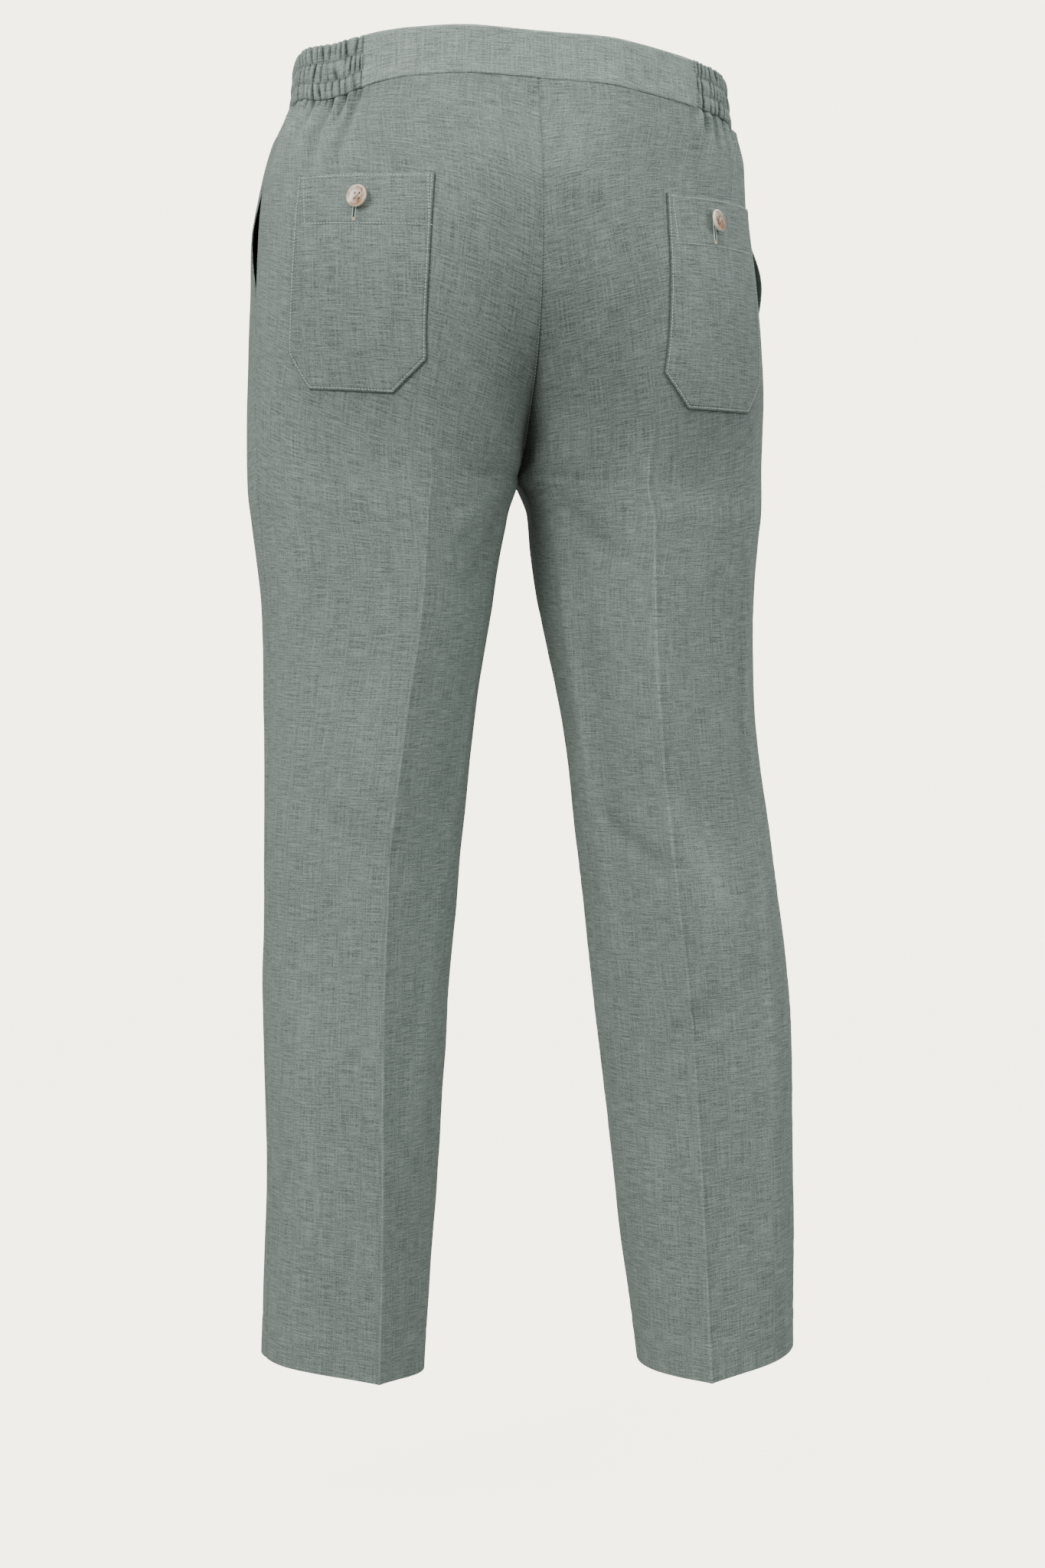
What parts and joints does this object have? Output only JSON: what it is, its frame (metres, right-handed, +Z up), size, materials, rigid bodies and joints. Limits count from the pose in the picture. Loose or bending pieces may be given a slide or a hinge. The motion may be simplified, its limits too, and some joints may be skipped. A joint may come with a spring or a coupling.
{
  "type": "linen drawstring trousers",
  "caption": "Straight linen trousers as worn: hollow standing legs with pressed creases, an elasticated waistband with a flat back and a drawstring outlet in front, and buttoned patch pockets.",
  "frame": {"origin": "the middle of the waist opening, half way up the waistband", "axes": "+Z up, -Y to the wearer's front, +X to the wearer's left"},
  "size_m": [0.4361, 0.2647, 1.0728],
  "materials": {
    "linen": "plain-woven linen in a heathered grey green, matt, with slubs both ways",
    "linen_inside": "the same linen inside the side pockets, in shade",
    "horn": "four-hole buttons in mottled beige horn, low gloss"
  },
  "bodies": {
    "root": {"back_left": "linen", "back_right": "linen", "front_left": "linen", "front_right": "linen", "waistband_back": "linen", "waistband_front": "linen", "waistband_side_left": "linen", "waistband_side_right": "linen", "pocket_back_left": "linen", "pocket_back_right": "linen", "side_pocket_left": "linen_inside", "side_pocket_right": "linen_inside", "button_left": "horn", "button_right": "horn"}
  },
  "joints": []
}
